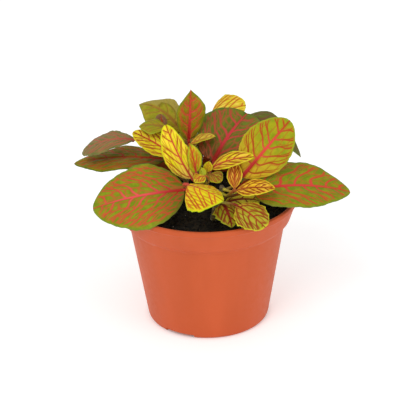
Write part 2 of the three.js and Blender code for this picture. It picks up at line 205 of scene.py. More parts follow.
# Every leaf, in millimetres and degrees. The back centre one is a little fuller near its base than
# its CAD node is.
LEAVES = [
    # The front left leaf's browner ground near its stalk is painted shade from the leaves above it.
    leaf("front_left", "main", 0.503, (-10.5, -20.5, 76.9), (-55, -21, 68), 38.5, MATURE, roll=-29,
         bow=(3, 4), fold=5, edge=-12, widest=0.43, full=(0.52, 0.6),
         ground=((118, 140, 8), (142, 152, 18)), vein=(204, 86, 45), rib=(236, 84, 86),
         shaded=(112, 88, 36), shade=0.5, base_tone=0.8, net_width=0.22, flush_width=0.62,
         rim_width=2.6, flush_amount=0.7, net_amount=0.85),
    leaf("front_right", "right", 0.7, (22, -20, 76), (70, -11, 70), 31, MATURE, roll=22, bow=(5, 5),
         fold=14, edge=-8, widest=0.4, full=(0.36, 0.7),
         ground=((118, 137, 6), (140, 150, 12)), vein=(202, 82, 36), rib=(222, 68, 62), cell=4.2,
         side_width=0.46, net_amount=0.5),
    leaf("right_upright", "right", 0.85, (17, -14, 80), (40.5, -8, 106.8), 24.5, GREEN, roll=60,
         bow=(1, 1), edge=-5, widest=0.5, full=(0.75, 0.55),
         ground=((138, 150, 6), (164, 162, 12)), shaded=(240, 190, 44), shade=0.75, shade_to=0.7,
         pairs=7, lean=0.9, side_width=0.32, net_width=0.1, net_amount=0.45),
    # The back centre leaf's dark red-brown near its stalk is partly its own colour and partly painted
    # shade.
    leaf("back_centre", "main", 0.757, (3.8, 2.8, 81.1), (21, 25.3, 97.3), 32, MATURE, roll=13,
         bow=(5, 3), fold=14, edge=5, widest=0.58, full=(0.29, 0.5),
         ground=((90, 112, 20), (112, 124, 26)), flush=(136, 94, 38), vein=(180, 78, 50),
         rib=(212, 64, 68), deep=(164, 36, 28), rim=(86, 106, 40), shaded=(96, 40, 18), shade=0.9,
         pairs=5, lean=1.0, side_width=0.5, net_width=0.24, rib_width=1.3, flush_width=0.9,
         net_amount=0.6),
    leaf("top_upright", "back", 0.708, (-8.4, 11.6, 89), (-6.7, 8.6, 116.7), 15.5, MATURE, roll=172,
         bow=(0, 0), fold=24, edge=0, widest=0.6, full=(0.55, 1.05),
         ground=((130, 136, 8), (154, 146, 14)), flush=(190, 114, 40), vein=(208, 92, 50),
         rib=(228, 86, 72), rim=(122, 134, 40), pairs=5, flush_width=0.8, flush_amount=0.9),
    leaf("top_left", "back", 0.912, (-11.7, 27.2, 87), (-33.9, 39, 97.5), 23, GREEN, roll=-26,
         bow=(9, 10), fold=-8, edge=-25, widest=0.42, full=(0.6, 1.05),
         ground=((142, 144, 12), (170, 156, 34)), flush=(168, 134, 42), vein=(158, 128, 34),
         rib=(162, 118, 38), deep=(160, 108, 40), rim=(124, 124, 40), turned_up=(172, 154, 66),
         pairs=5, side_width=0.22, rim_width=2.4, flush_amount=0.45, net_amount=0.15),
    leaf("back_left_small", "left", 0.949, (-19.4, 10.4, 96.4), (-33, 13, 96.3), 12, GREEN, roll=-16,
         fold=0, edge=-20,
         ground=((142, 150, 10), (166, 146, 24)), flush=(164, 138, 34), vein=(152, 126, 32),
         rib=(156, 120, 36), deep=(150, 108, 38), pairs=4, side_width=0.2, flush_amount=0.45,
         net_amount=0.15),
    leaf("back_left_dull", "back", 0.78, (-21.1, 18.6, 93.3), (-21.8, 17.4, 100.7), 6.6, MATURE,
         roll=180, bow=(0.5, 0.5), fold=5, edge=0, widest=0.6, full=(0.6, 0.5),
         ground=((146, 104, 70), (152, 114, 84)), flush=(160, 100, 64), vein=(160, 96, 60),
         rib=(196, 76, 40), deep=(196, 70, 36), rim=(140, 110, 70), shaded=(130, 110, 50), pairs=4,
         rows=1, cell=2.0, side_width=0.25, rib_width=0.6, net_amount=0.2),
    leaf("left_yellow", "left", 0.885, (-15.2, 3.9, 83.8), (-36, 14, 93), 13.5, YOUNG, roll=-25,
         full=(0.75, 0.6),
         ground=((222, 208, 14), (240, 212, 44)), flush=(236, 184, 70), vein=(168, 68, 24), pairs=6,
         side_width=0.15),
    leaf("centre_yellow", "main", 0.841, (-6.9, -12.7, 79.1), (-19.1, -8, 105.7), 16.5, YOUNG,
         roll=-95, fold=16, edge=0, widest=0.35, full=(0.58, 0.55),
         ground=((232, 226, 8), (254, 228, 54)), flush=(254, 198, 66), vein=(180, 70, 20),
         rib=(222, 84, 62), rim=(190, 206, 18), shaded=(255, 214, 124), shade=0.55,
         side_width=0.19, rim_width=1.1, flush_amount=0.35),
    leaf("centre_small", "main", 0.941, (-4.8, -17.9, 84.6), (-7.7, -18, 100), 9, YOUNG, roll=-50,
         bow=(0.5, 0.5), fold=20, edge=10, full=(0.6, 0.8),
         ground=((158, 168, 12), (216, 196, 34)), flush=(220, 140, 34), vein=(206, 88, 28),
         rib=(214, 84, 44), rim=(134, 160, 24), shaded=(190, 180, 20), pairs=3, lean=3, cell=1.2,
         rim_width=2.2, flush_amount=0.45),
    leaf("top_small", "back", 0.8, (-7.5, 6, 89.3), (4.9, 6, 93.2), 10, YOUNG, bow=(1, 1), fold=20,
         edge=0,
         ground=((204, 200, 42), (226, 206, 74)), flush=(220, 180, 60), vein=(186, 116, 40),
         rib=(196, 124, 50), pairs=4, cell=1.2),
    leaf("front_yellow", "main", 0.804, (-8.7, -33.3, 85.7), (8, -45.8, 82.7), 24, YOUNG, roll=18,
         fold=-28, edge=-48, widest=0.34, full=(0.34, 0.8),
         ground=((208, 206, 8), (228, 208, 18)), flush=(234, 172, 34), vein=(190, 82, 18),
         rib=(222, 92, 42), rim=(158, 196, 14), cell=1.5, side_width=0.17, net_width=0.09,
         rim_width=1.9, flush_amount=0.5, net_amount=0.7),
    leaf("front_curled", "main", 0.876, (-0.5, -21.7, 84.6), (-5.9, -25, 82.5), 8, YOUNG, roll=-10,
         fold=0, edge=-20,
         ground=((208, 208, 28), (224, 206, 46)), flush=(228, 182, 50), vein=(186, 88, 26),
         rib=(196, 92, 40), deep=(196, 104, 44), shaded=(208, 196, 40), pairs=3, cell=1.1),
    leaf("right_yellow", "main", 0.938, (2.2, -11.2, 83.6), (22.9, -17, 92.2), 9.5, YOUNG, roll=30,
         bow=(3, 3), edge=-5, full=(0.75, 0.55),
         ground=((228, 212, 14), (246, 206, 66)), flush=(240, 172, 50), vein=(156, 60, 16),
         rib=(196, 78, 42), pairs=4, lean=2.6, cell=1.4, flush_amount=0.4),
    leaf("right_small", "main", 0.82, (2, -7, 79), (7.3, -10, 75.8), 9.5, YOUNG, roll=10, bow=(1, 1),
         full=(0.75, 0.6),
         ground=((198, 204, 34), (220, 204, 60)), flush=(220, 176, 56), vein=(190, 108, 40),
         rib=(196, 112, 44), deep=(190, 120, 50), shaded=(206, 196, 46), pairs=3, cell=1.1),
    leaf("branch_up", "right", 0.93, (13.4, -19.2, 76.5), (14, -11.2, 87.7), 7.6, YOUNG, bow=(1, 1),
         fold=15, edge=0,
         ground=((240, 188, 44), (248, 200, 74)), flush=(238, 166, 50), vein=(166, 64, 10),
         rib=(180, 74, 22), deep=(196, 116, 44), stalk=(196, 184, 60), lean=2.6, cell=1.1,
         side_width=0.16, net_width=0.1, flush_amount=0.4, net_amount=0.7),
    leaf("branch_right", "right", 0.784, (14.1, -24, 77.8), (32.5, -32, 82.1), 11.5, YOUNG, roll=22,
         ground=((242, 194, 36), (252, 210, 62)), vein=(150, 52, 8), rib=(156, 50, 14),
         deep=(170, 84, 34), stalk=(196, 184, 60), lean=2.0, cell=1.3, side_width=0.18,
         net_width=0.09, flush_amount=0.5, net_amount=0.7),
    leaf("low_front", "front", 0.75, (8, -29.3, 73.1), (11.9, -39.5, 65.5), 13.5, GREEN, fold=-5,
         edge=-20, widest=0.32, full=(0.38, 0.8),
         ground=((148, 150, 14), (166, 154, 26)), flush=(154, 110, 24), vein=(128, 48, 14),
         rib=(146, 40, 18), deep=(124, 32, 12), pairs=4, cell=2.4, net_width=0.12, flush_amount=0.45,
         net_amount=0.75, scallop=0.07),
    leaf("low_back", "front", 0.7, (8.1, -13.5, 65.9), (26.3, -14.6, 67.6), 17.5, GREEN, roll=18,
         bow=(3, 3), fold=0, edge=-20,
         ground=((202, 196, 34), (214, 200, 50)), flush=(196, 150, 40), vein=(120, 48, 14),
         rib=(132, 46, 18), deep=(116, 40, 14), stalk=(150, 140, 50), pairs=3, flush_amount=0.35,
         scallop=0.05),
    leaf("low_right", "front", 0.96, (14.3, -33, 74.1), (27.3, -45, 68.2), 16.5, YOUNG, roll=20,
         fold=0, edge=-15, full=(0.7, 0.45),
         ground=((166, 164, 28), (186, 176, 48)), flush=(190, 144, 40), vein=(146, 54, 18),
         rib=(174, 60, 30), deep=(136, 40, 16), stalk=(150, 140, 50), pairs=4, cell=2.2,
         net_width=0.11, flush_amount=0.45, net_amount=0.8, scallop=0.045),
    leaf("top_yellow", "back", 0.95, (2.7, 36.5, 90.3), (20.6, 32.5, 98.7), 19, YOUNG, roll=35,
         full=(0.7, 0.5),
         ground=((232, 212, 40), (250, 222, 78)), flush=(240, 196, 58), vein=(204, 108, 26),
         rib=(216, 120, 40), pairs=4, side_width=0.25, flush_amount=0.35),
    leaf("back_right", "back", 0.752, (8.6, 27.7, 86.4), (48.3, 24, 73), 20, MATURE, roll=10,
         bow=(23, 16), fold=5, edge=-20, widest=0.5,
         ground=((88, 102, 22), (108, 112, 28)), flush=(110, 98, 40), vein=(116, 84, 44),
         rib=(120, 80, 50), deep=(120, 70, 40)),
    leaf("left_low", "left", 0.6, (-19.9, 13, 78.1), (-66.9, 25, 71.7), 31, MATURE, bow=(3, 3), fold=3,
         edge=-8, widest=0.5, full=(0.5, 0.75),
         ground=((104, 122, 14), (140, 140, 26)), flush=(168, 108, 34), vein=(190, 88, 40),
         rib=(194, 66, 38), rim=(80, 100, 20), base_tone=0.6, gloss=0.05),
    # The left high leaf's greyish mauve colours are partly its own and partly painted sheen, the light
    # on a dark blade seen at a grazing angle.
    leaf("left_high", "left", 0.8, (-35.1, 15.5, 88.1), (-62.1, 22.5, 79.4), 21, MATURE, roll=-9,
         bow=(4, 4), fold=0, widest=0.6, full=(0.75, 0.48),
         ground=((110, 118, 54), (142, 126, 68)), flush=(164, 112, 76), vein=(176, 100, 70),
         rib=(182, 98, 72), deep=(176, 84, 64), rim=(120, 116, 60), net_amount=0.3, scallop=0.03),
    leaf("rear_left", "back", 0.4, (-10, 22, 74), (-32, 50, 69), 24, MATURE, **UNSEEN),
    leaf("rear_right", "back", 0.4, (4, 22, 74), (32, 48, 69), 25, MATURE, **UNSEEN),
    leaf("rear_centre", "back", 0.45, (-2, 25, 74.8), (0, 57, 73), 23, MATURE, full=(0.45, 0.8),
         **UNSEEN),
    leaf("right_low", "right", 0.45, (17, -3, 71), (51, 14, 69), 24, MATURE, **UNSEEN),
    leaf("left_under", "left", 0.4, (-15, -1, 70), (-46, -2, 69), 20, MATURE, **UNSEEN),
    leaf("rear_upper_left", "back", 0.55, (-12, 27, 81), (-31, 46, 82), 19, GREEN, full=(0.5, 0.8),
         **UNSEEN_UPPER),
    leaf("rear_upper_right", "back", 0.6, (9, 27, 81), (27, 45, 80), 18, GREEN, **UNSEEN_UPPER),
    leaf("bud_right", "main", 1, (0.1, -12.9, 82.6), (1.4, -12.8, 88.2), 4.8, YOUNG, roll=90,
         bow=(0.6, 0.8), fold=20, edge=5, widest=0.5, full=(0.75, 0.7),
         ground=((206, 206, 14), (222, 208, 24)), flush=(212, 186, 26), vein=(200, 140, 24),
         rib=(202, 154, 30), deep=(186, 160, 30), pairs=3, cell=0.8, flush_amount=0.4),
    leaf("bud_left", "main", 1, (-1.1, -16.3, 81.1), (-2.4, -16.4, 86.7), 3.6, GREEN, roll=90,
         bow=(0.4, 0.4), fold=20, edge=5, widest=0.5,
         ground=((180, 198, 18), (198, 206, 34)), flush=(196, 192, 30), vein=(184, 158, 26),
         rib=(180, 168, 30), deep=(176, 166, 30), under=(186, 196, 50), shaded=(186, 196, 30), pairs=3,
         cell=0.8, flush_amount=0.3),
]


# Shader helpers

class Nodes:
    """Short ways to add nodes to a material and join them."""

    def __init__(self, name):
        self.material = bpy.data.materials.new(name)
        self.material.use_nodes = True
        self.tree = self.material.node_tree
        self.tree.nodes.clear()
        self.shader = self.add("BsdfPrincipled")
        self.add("OutputMaterial", {0: self.shader.outputs[0]})

    def add(self, kind, inputs=(), **settings):
        """A new node with its settings and, by number or name, what goes into its inputs."""
        node = self.tree.nodes.new("ShaderNode" + kind)
        for key, value in settings.items():
            setattr(node, key, value)
        for key, value in dict(inputs).items():
            self.put(value, node.inputs[key])
        return node

    def put(self, value, socket):
        """Links a node's output to a socket, or sets a number or a display colour there."""
        if isinstance(value, bpy.types.NodeSocket):
            self.tree.links.new(value, socket)
        else:
            socket.default_value = rgb(*value) if isinstance(value, tuple) else value

    def attribute(self, name, output="Fac"):
        return self.add("Attribute", attribute_name=name).outputs[output]

    def place(self):
        """Position in the object's own frame, in metres."""
        return self.add("TexCoord").outputs["Object"]

    def math(self, operation, first, *others):
        """Joins the values two by two from the left."""
        for other in others:
            first = self.add("Math", {0: first, 1: other}, operation=operation).outputs[0]
        return first

    times = partialmethod(math, "MULTIPLY")
    plus = partialmethod(math, "ADD")
    minus = partialmethod(math, "SUBTRACT")
    most = partialmethod(math, "MAXIMUM")

    def size(self, value):
        return self.add("Math", {0: value}, operation="ABSOLUTE").outputs[0]

    def smooth(self, value, low, high, start=0.0, end=1.0):
        """Goes smoothly from start to end as value goes from low to high."""
        inputs = enumerate((value, low, high, start, end))
        return self.add("MapRange", inputs, interpolation_type="SMOOTHSTEP").outputs[0]

    def mix(self, factor, a, b, blend="MIX"):
        return self.add("Mix", {0: factor, 6: a, 7: b}, data_type="RGBA", blend_type=blend).outputs[2]

    def dim(self, colour, tone):
        """The colour times a number."""
        grey = self.add("CombineColor", {0: tone, 1: tone, 2: tone}).outputs[0]
        return self.mix(1.0, colour, grey, "MULTIPLY")

    def noise(self, place, scale, detail=2.0, rough=0.5):
        inputs = {"Vector": place, "Scale": scale, "Detail": detail, "Roughness": rough}
        return self.add("TexNoise", inputs).outputs["Fac"]

    def cells(self, place):
        """Distance to the nearest edge between irregular cells about one unit across."""
        inputs = {"Vector": place, "Scale": 1.0, "Randomness": CELL_RANDOMNESS}
        settings = dict(voronoi_dimensions="2D", feature="DISTANCE_TO_EDGE")
        return self.add("TexVoronoi", inputs, **settings).outputs["Distance"]

    def finish(self, colour, rough, gloss=0.5, bumps=None, depth=0.0, strength=1.0):
        """Joins everything to the shader. The bumps' depth is in metres."""
        inputs = {"Base Color": colour, "Roughness": rough, "Specular IOR Level": gloss}
        if bumps:
            normal = self.add("Bump", {"Strength": strength, "Distance": depth, "Height": bumps})
            inputs["Normal"] = normal.outputs[0]
        for key, value in inputs.items():
            self.put(value, self.shader.inputs[key])
        return self.material


# Leaf materials

def vein_distance(n, turned):
    """Distance in millimetres from the middle of the nearest side vein."""
    share = n.add("Math", {0: turned}, operation="FRACT").outputs[0]
    off_middle = n.size(n.minus(share, 0.5))
    return n.times(off_middle, n.attribute("spacing"))


def vein_masks(n, leaf, fine):
    """Masks from 0 to 1 of the side veins, the net, the midrib, and the blush beside all three."""
    reach = n.attribute("reach")
    sway = n.minus(fine, 0.5)
    swell = n.plus(n.noise(n.attribute("flat_place", "Vector"), 0.5, 3.0), 0.5)

    # Distances in millimetres from the middle of each kind of vein
    turned = n.plus(n.attribute("phase"), 0.5)
    forked = n.minus(turned, n.smooth(reach, 0.3, 1.05, 0.0, 0.5))
    side_sway = n.times(sway, 0.9 * leaf.side_width)
    from_side = n.plus(vein_distance(n, turned), side_sway)
    from_fork = n.plus(vein_distance(n, forked), side_sway)
    from_net = n.times(n.cells(n.attribute("mesh_place", "Vector")), leaf.cell * 0.85)
    from_net = n.plus(from_net, n.times(sway, 0.5 * leaf.net_width))
    from_rib = n.size(n.attribute("across"))

    # Side veins and the midrib thin towards their ends. Side veins and the net swell and shrink.
    side_width = n.times(n.minus(1.15, n.times(reach, 0.6)), leaf.side_width, swell)
    fork_width = n.times(side_width, 0.6)
    net_width = n.times(swell, leaf.net_width)
    rib_width = n.times(n.minus(1.1, n.times(n.attribute("along"), 0.9)), leaf.rib_width)

    def mask(distance, width, blur):
        return n.smooth(distance, n.times(width, 0.5), n.plus(width, blur), 1.0, 0.0)

    inside = n.smooth(n.attribute("edge"), leaf.rim_width * 0.3, leaf.rim_width * 1.2)
    outer = n.smooth(reach, 0.05, 0.35, 0.35, 1.0)
    side = n.most(mask(from_side, side_width, VEIN_BLUR), mask(from_fork, fork_width, VEIN_BLUR))
    net = mask(from_net, net_width, VEIN_BLUR)
    beside = n.most(
        mask(from_side, side_width, leaf.flush_width),
        n.times(mask(from_net, net_width, leaf.flush_width), leaf.net_amount),
        mask(from_rib, rib_width, 1.0),
    )
    return (
        n.times(side, inside),
        n.times(net, inside, outer),
        mask(from_rib, rib_width, RIB_BLUR),
        n.times(beside, inside, leaf.flush_amount),
    )


def leaf_top_material(name, leaf):
    """The upper side: ground, blush, side veins, a net of fine veins, midrib and rim."""
    n = Nodes(name)
    along = n.attribute("along")
    edge = n.attribute("edge")
    flat_place = n.attribute("flat_place", "Vector")
    fine = n.noise(flat_place, 2.2, 3.0, 0.6)
    side, net, rib, beside = vein_masks(n, leaf, fine)

    colour = n.mix(n.smooth(n.noise(flat_place, 0.3), 0.35, 0.65), *leaf.ground)
    colour = n.mix(n.smooth(edge, 0.1, 0.8, 0.75, 0.0), colour, leaf.rim)
    # Near the stalk the ground takes painted shade on the mature leaves, and the leaf's own warmer,
    # paler colour on the others
    shade = n.smooth(along, 0.0, leaf.shade_to, leaf.shade, 0.0)
    colour = n.mix(shade, colour, leaf.shaded)
    colour = n.mix(beside, colour, leaf.flush)
    colour = n.mix(n.times(net, leaf.net_amount), colour, leaf.vein)
    rib_colour = n.mix(n.smooth(along, 0.05, 0.45), leaf.deep, leaf.rib)
    rib_colour = n.mix(n.smooth(along, 0.6, 1.0), rib_colour, leaf.vein)
    side_colour = n.mix(n.smooth(n.attribute("reach"), 0.0, 0.5), rib_colour, leaf.vein)
    colour = n.mix(n.times(side, 0.95), colour, side_colour)
    colour = n.mix(rib, colour, rib_colour)

    # A margin that turns up shows as a band on one side of the blade, with a painted shadow along it as
    # a dark line
    if leaf.turned_up:
        one_side = n.smooth(n.attribute("across"), 0.5, 1.5)
        painted_shadow = n.times(n.smooth(edge, 5.5, 6.5, 0.6, 0.0), one_side)
        band = n.times(n.smooth(edge, 4.9, 5.6, 0.9, 0.0), one_side)
        colour = n.mix(painted_shadow, colour, (120, 98, 24))
        colour = n.mix(band, colour, leaf.turned_up)

    speckle = n.smooth(n.noise(flat_place, 7.0, 2.0, 0.7), 0.2, 0.8, 0.86, 1.1)
    # Some leaves darken towards the stalk: partly their own darker base, partly painted shade
    tone = n.times(speckle, n.smooth(along, 0.0, 0.5, leaf.base_tone, 1.0))
    rough = n.smooth(fine, 0.2, 0.8, leaf.rough - 0.06, leaf.rough + 0.1)
    veins = n.most(n.times(side, 0.8), n.times(net, 0.5), rib)
    bumps = n.minus(n.times(fine, 0.25), veins)
    return n.finish(n.dim(colour, tone), rough, leaf.gloss, bumps, 0.00018, 0.8)


def leaf_under_material(name, leaf):
    """The lower side: paler and duller, with the veins showing through."""
    n = Nodes(name)
    side = n.smooth(vein_distance(n, n.plus(n.attribute("phase"), 0.5)), 0.15, 0.55, 0.6, 0.0)
    net = n.smooth(n.cells(n.attribute("mesh_place", "Vector")), 0.04, 0.16, 0.35, 0.0)
    veins = n.most(side, net)
    cloudy = n.smooth(n.noise(n.attribute("flat_place", "Vector"), 0.4, 3.0), 0.3, 0.7)
    ground = n.mix(n.times(cloudy, 0.5), leaf.under, leaf.ground[1])
    colour = n.mix(veins, ground, leaf.flush)
    return n.finish(colour, n.smooth(cloudy, 0.0, 1.0, 0.55, 0.68), 0.25, veins, 0.00015, 0.7)


def stalk_material(name, leaf):
    """A leaf stalk: from green-brown to the red of the leaf's base, and pale under the blade."""
    n = Nodes(name)
    along = n.attribute("along")
    streak = n.noise(n.place(), 900.0, 3.0, 0.6)
    colour = n.mix(n.smooth(along, -0.75, -0.05), leaf.stalk, leaf.deep)
    colour = n.mix(n.smooth(streak, 0.35, 0.75, 0.0, 0.45), colour, (96, 70, 34))
    colour = n.mix(n.smooth(along, 0.02, 0.3), colour, leaf.under)
    return n.finish(colour, n.smooth(streak, 0.2, 0.8, 0.45, 0.62), 0.25, streak, 0.00008, 0.6)


# Other materials

def stem_material():
    n = Nodes("stem_skin")
    patches = n.noise(n.place(), 260.0, 4.0, 0.6)
    grain = n.noise(n.place(), 1500.0)
    colour = n.mix(n.smooth(patches, 0.35, 0.65), (128, 116, 52), (92, 74, 46))
    colour = n.mix(n.smooth(grain, 0.4, 0.8, 0.0, 0.4), colour, (150, 140, 110))
    return n.finish(colour, n.smooth(patches, 0.2, 0.8, 0.6, 0.8), 0.5, grain, 0.00012, 0.8)


def speckled_material(name, scale, detail, dark, light, rough, depth):
    """Pale specks of two shades: the stems' hairs and the soil's grains."""
    n = Nodes(name)
    shade = n.noise(n.place(), scale, detail)
    colour = n.mix(n.smooth(shade, 0.3, 0.7), dark, light)
    return n.finish(colour, n.smooth(shade, 0.0, 1.0, *rough), 0.5, shade, depth, 0.7)


def soil_material():
    n = Nodes("potting_soil_dark")
    place = n.place()
    clods = n.noise(place, 420.0, 5.0, 0.65)
    grain = n.noise(place, 1900.0, 4.0, 0.7)
    colour = n.mix(n.smooth(clods, 0.4, 0.66), (12, 10, 5), (46, 37, 22))
    colour = n.mix(n.smooth(grain, 0.55, 0.8, 0.0, 0.5), colour, (78, 64, 46))
    bumps = n.plus(clods, n.times(grain, 0.5))
    return n.finish(colour, n.smooth(grain, 0.2, 0.8, 0.8, 0.97), 0.25, bumps, 0.0007, 0.9)


def pot_material():
    """Moulded plastic: an even clay colour with faint flow marks, fine grain and a few scuffs."""
    n = Nodes("pot_plastic_clay")
    place = n.place()
    stretched = n.add("Mapping", {"Vector": place, "Scale": [60.0, 60.0, 9.0]}).outputs[0]
    flow = n.noise(stretched, 1.0, 3.0)
    grain = n.noise(place, 2600.0, 2.0, 0.6)
    scuff = n.noise(place, 330.0, 5.0, 0.75)
    colour = n.mix(n.smooth(flow, 0.3, 0.7), (192, 83, 38), (200, 88, 43))
    colour = n.mix(n.smooth(scuff, 0.68, 0.8, 0.0, 0.25), colour, (222, 130, 92))
    bumps = n.plus(grain, n.times(flow, 1.5))
    return n.finish(colour, n.smooth(scuff, 0.3, 0.75, 0.46, 0.6), 0.25, bumps, 0.00005, 0.5)


def floor_material():
    """Nearly white, with a faint glow, painted light, that starts at the pot's foot and leaves the
    shade under and round the foot.
    """
    n = Nodes("floor_pale")
    shade = n.noise(n.place(), 3.0)
    colour = n.mix(n.smooth(shade, 0.3, 0.7), (246, 246, 246), (249, 249, 249))
    from_middle = n.add("VectorMath", {0: n.place()}, operation="LENGTH").outputs["Value"]
    n.put((255, 255, 255), n.shader.inputs["Emission Color"])
    glow = n.smooth(from_middle, GLOW_FROM, GLOW_TO, 0.0, GLOW)
    n.put(glow, n.shader.inputs["Emission Strength"])
    return n.finish(colour, 0.9, 0.1)


# Mesh helpers

def add_to_scene(name, data):
    made = bpy.data.objects.new(name, data)
    bpy.context.scene.collection.objects.link(made)
    return made


def new_piece(name, mesh, slot, *nodes):
    piece = add_to_scene(name, mesh)
    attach(piece, "root")
    if nodes:
        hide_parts(*nodes)
    return piece


def mesh_from(name, points, faces, materials, smooth=True):
    """A mesh from points in millimetres."""
    mesh = bpy.data.meshes.new(name)
    mesh.from_pydata((np.asarray(points) * MM).tolist(), [], faces)
    for material in materials:
        mesh.materials.append(material)
    if smooth:
        mesh.shade_smooth()
    return mesh


def unit(vectors):
    return vectors / np.linalg.norm(vectors, axis=-1, keepdims=True)


def square(direction, to):
    """The part of each direction that is square to another, as a unit vector."""
    along = np.sum(direction * to, axis=-1, keepdims=True)
    return unit(direction - along * to)


def bezier(points, t):
    """Places and headings on a cubic curve through four control points."""
    t = np.asarray(t, float)[:, None]
    a, b, c, d = points
    s = 1 - t
    place = s**3 * a + 3 * s * s * t * b + 3 * s * t * t * c + t**3 * d
    heading = 3 * s * s * (b - a) + 6 * s * t * (c - b) + 3 * t * t * (d - c)
    return place, unit(heading)


def centripetal(points, t):
    """Places on the centripetal spline through three points, as in the CAD model."""
    p = [np.asarray(q, float) for q in points]
    p = [2 * p[0] - p[1], *p, 2 * p[-1] - p[-2]]
    made = []
    for value in np.atleast_1d(t):
        step = min(int(value * 2), 1)
        w = value * 2 - step
        a, b, c, d = p[step:step + 4]
        near, middle, far = (np.linalg.norm(gap) ** 0.5 for gap in (b - a, c - b, d - c))
        enter = ((b - a) / near - (c - a) / (near + middle) + (c - b) / middle) * middle
        leave = ((c - b) / middle - (d - b) / (middle + far) + (d - c) / far) * middle
        made.append(
            (2 * w**3 - 3 * w * w + 1) * b + (w**3 - 2 * w * w + w) * enter
            + (3 * w * w - 2 * w**3) * c + (w**3 - w * w) * leave
        )
    return np.array(made)


def heading_of(points, at):
    step = 1e-3
    low, high = max(at - step, 0.0), min(at + step, 1.0)
    ends = centripetal(points, [low, high])
    return unit(ends[1] - ends[0])


def stem_radius(at):
    return STEM_RADIUS + (STEM_TIP_RADIUS - STEM_RADIUS) * at


def ring_faces(rings, sides, start=0):
    """Quads between rings of points, closed round, with the first and last ring capped."""
    faces = []
    for r in range(rings - 1):
        for k in range(sides):
            a = start + r * sides + k
            b = start + r * sides + (k + 1) % sides
            faces.append((a, b, b + sides, a + sides))
    faces.append(tuple(start + k for k in reversed(range(sides))))
    last = start + (rings - 1) * sides
    faces.append(tuple(last + k for k in range(sides)))
    return faces


def tube(places, headings, normals, radii, sides):
    """Rings of points round a path."""
    turn = FULL_TURN * np.arange(sides) / sides
    beside = np.cross(headings, normals)
    ring = beside[:, None] * np.cos(turn)[:, None]
    ring = ring + normals[:, None] * np.sin(turn)[:, None]
    return places[:, None] + ring * radii[:, None, None]


def on_circle(radius, turn):
    return radius * math.cos(turn), radius * math.sin(turn)


def circle(radius, sides):
    """Points round the pot's axis, as pairs of x and y."""
    return [on_circle(radius, FULL_TURN * k / sides) for k in range(sides)]


# Leaves

def midrib_of(leaf):
    """The midrib's four control points, and the way that the middle of the blade faces."""
    base, tip = np.array(leaf.base, float), np.array(leaf.tip, float)
    chord = tip - base
    ahead = unit(chord)
    upright = square(np.array([0.0, 0.0, 1.0]), ahead)
    beside = np.cross(ahead, upright)
    roll = math.radians(leaf.roll)
    face = upright * math.cos(roll) + beside * math.sin(roll)
    near = base + chord / 3 + face * leaf.bow[0]
    far = base + chord * 2 / 3 + face * leaf.bow[1]
    return [base, near, far, tip], face


def outline(u, leaf):
    """Half the blade's width along the midrib, as a share of the greatest."""
    near, far = leaf.full
    low = np.sin(np.pi / 2 * np.clip(u / leaf.widest, 0, 1)) ** near
    high = np.cos(np.pi / 2 * np.clip((u - leaf.widest) / (1 - leaf.widest), 0, 1)) ** far
    return np.where(u < leaf.widest, low, high)


def blade_of(leaf, control, face, seed):
    """The upper side before its relief, as rows of points, and where each point is on the blade.

    u goes from 0 to 1 along the midrib, size from 0 to 1 out to the margin, and sign tells the two
    halves apart. out and gap are a point's distances from the midrib and the margin.
    """
    length = np.linalg.norm(control[3] - control[0])
    rows = int(np.clip(length * ROWS_PER_MM, *ROW_LIMITS))
    columns = int(np.clip(leaf.width * COLUMNS_PER_MM, *COLUMN_LIMITS))

    # Stations along the blade, closer together at both ends, and across it
    share = np.linspace(0, 1, rows)
    u = 0.45 * share + 0.55 * (1 - np.cos(np.pi * share)) / 2
    v = np.linspace(0, 1, columns // 2 + 1) ** 0.92
    v[0] = 0.004
    v = np.concatenate([-v[::-1], v])
    size, sign = np.abs(v)[None, :], np.sign(v)[None, :]
    place, heading = bezier(control, u)
    normal = square(face, heading)[:, None]
    side = np.cross(heading, normal[:, 0])[:, None]
    half = np.maximum(leaf.width / 2 * outline(u, leaf), np.where(u < 0.3, 0.45, 0.12))[:, None]
    u = u[:, None]

    # The margin ripples up and down, and is scalloped
    angle = np.radians(leaf.fold * (1 - size / 2) + leaf.edge * size / 2)
    ripple = 0.018 * leaf.width * size**3 * np.sin(FULL_TURN * (2.2 * u + 0.35 * sign) + seed)
    wave = FULL_TURN * leaf.pairs * u + seed + 1.3 * sign
    scallop = leaf.scallop * size**4 * (np.sin(wave) + 0.5 * np.sin(2.3 * wave))
    out = half * size * (1 + scallop)
    lift = out * np.sin(angle) + ripple * np.sin(np.pi * u)
    surface = place[:, None] + side * (sign * out * np.cos(angle))[..., None]
    surface = surface + normal * lift[..., None]
    gap = np.minimum(half * (1 - size), (1 - u) * length * 0.5)
    return SimpleNamespace(
        surface=surface, normal=normal, length=length, half=half, u=u, size=size, sign=sign,
        out=out, gap=gap,
    )


def side_veins(leaf, blade, seed):
    """A phase that grows by one from each side vein to the next, and their spacing in millimetres."""
    pairs = leaf.pairs

    # Side veins start along the midrib and lean forward as they cross the blade
    forward = leaf.lean * blade.out * (2 * blade.out / leaf.width) ** 0.45
    start = blade.u - forward / blade.length
    phase = pairs * start + np.where(blade.sign > 0, 0.18, 0.62) + 40
    phase = phase + 0.14 * np.sin(seed + 3.1 * start * pairs + 2.0 * blade.sign)
    phase = phase + 0.09 * np.sin(seed * 2 + 0.9 * blade.out + 5.0 * start)

    def slope(axis):
        step = np.linalg.norm(np.gradient(blade.surface, axis=axis), axis=2)
        return np.gradient(phase, axis=axis) / np.maximum(step, 1e-4)

    return phase, np.clip(1 / np.sqrt(slope(0)**2 + slope(1)**2 + 1e-6), 0.6, 9.0)


